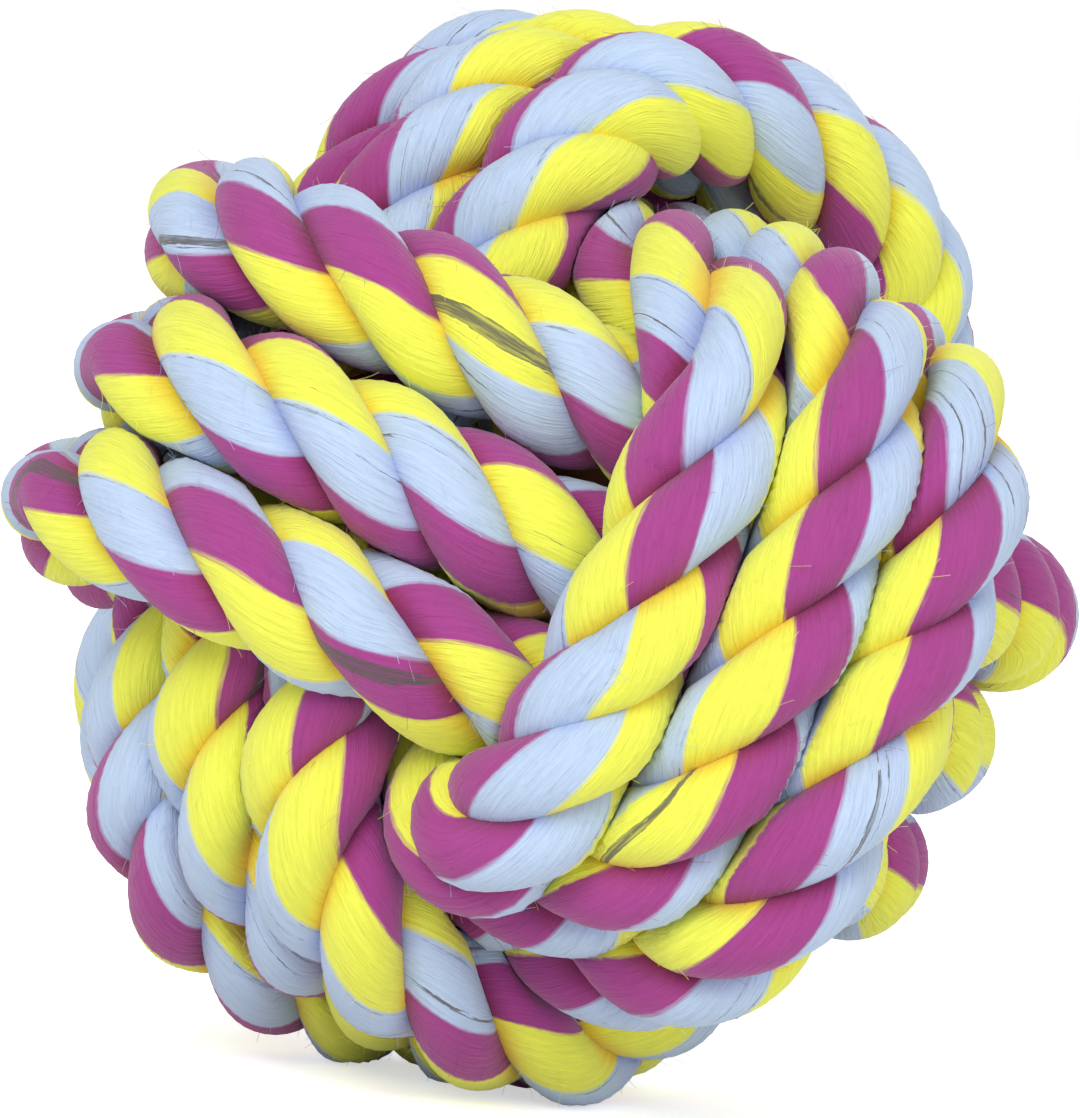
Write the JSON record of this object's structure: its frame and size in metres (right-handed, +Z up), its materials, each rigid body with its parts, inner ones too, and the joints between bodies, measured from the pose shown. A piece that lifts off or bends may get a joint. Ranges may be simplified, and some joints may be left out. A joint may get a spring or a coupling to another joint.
{
  "type": "rope ball toy",
  "caption": "Round chew toy for dogs, tied from a multicoloured laid cotton rope in a ball knot round a small core, and resting on a slightly pressed foot.",
  "frame": {"origin": "under the middle of the ball's bounding box, in the plane of its flat foot", "axes": "+Z up from the foot, +X to the right and -Y towards a viewer who faces the side where the three bands meet"},
  "size_m": [0.0944, 0.0986, 0.0942],
  "materials": {
    "cotton_rope": "laid cotton yarn in yellow, purple and pale blue",
    "dipped_seal": "dipped and set",
    "core_rubber": "matt"
  },
  "bodies": {
    "root": {"rope": "cotton_rope", "start_end_seal": "dipped_seal", "finish_end_seal": "dipped_seal", "core_ball": "core_rubber"}
  },
  "joints": []
}
